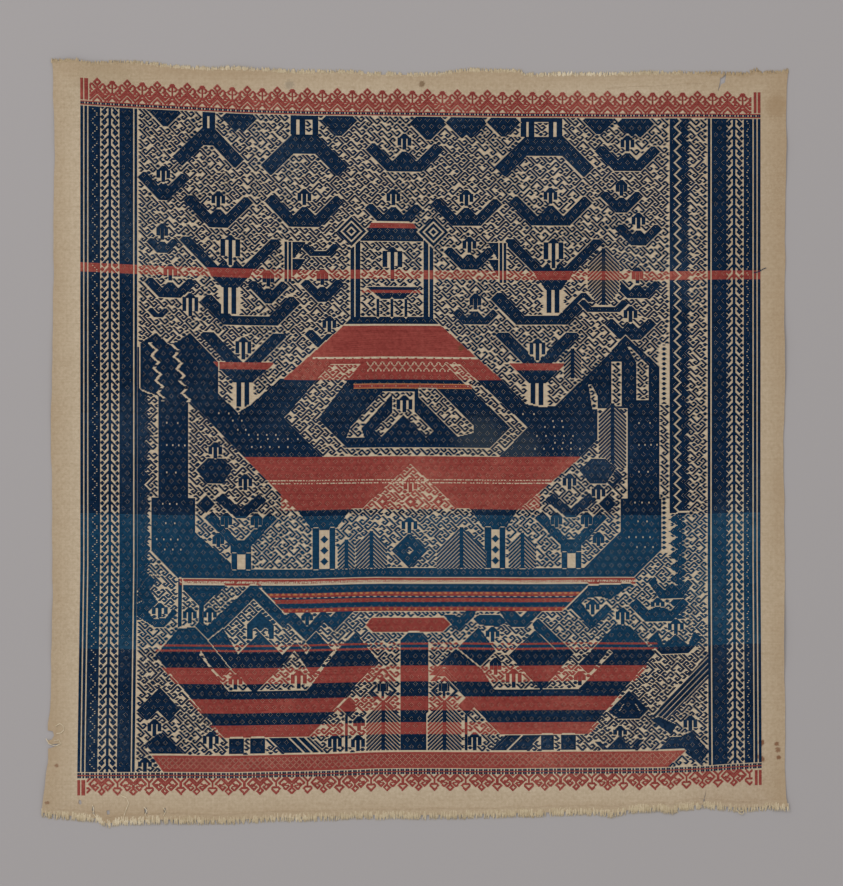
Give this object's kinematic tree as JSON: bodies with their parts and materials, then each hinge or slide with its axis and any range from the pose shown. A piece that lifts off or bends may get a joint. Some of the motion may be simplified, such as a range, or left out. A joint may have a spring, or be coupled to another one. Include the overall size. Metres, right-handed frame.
{
  "type": "ceremonial cloth",
  "caption": "Flat hand-woven ceremonial cloth, near square, with a dense pattern of stepped ship forms and hooks in dark blue and red on beige cotton, raw ends and small tears.",
  "frame": {"origin": "on the surface under the middle of the cloth, halfway along its width and its height", "axes": "+Z out of the patterned face, away from the surface it lies on; +Y towards the upper raw end, +X to the right as the pattern is seen"},
  "size_m": [0.709, 0.7304, 0.0036],
  "materials": {
    "cotton_ground": "matt plain-weave handspun cotton, aged beige",
    "indigo_yarn": "matt soft cotton pattern yarn, dark indigo blue",
    "blue_yarn": "matt soft cotton pattern yarn, mid indigo blue",
    "red_yarn": "matt soft cotton pattern yarn, faded red"
  },
  "bodies": {
    "root": {"cloth": "cotton_ground"}
  },
  "joints": []
}
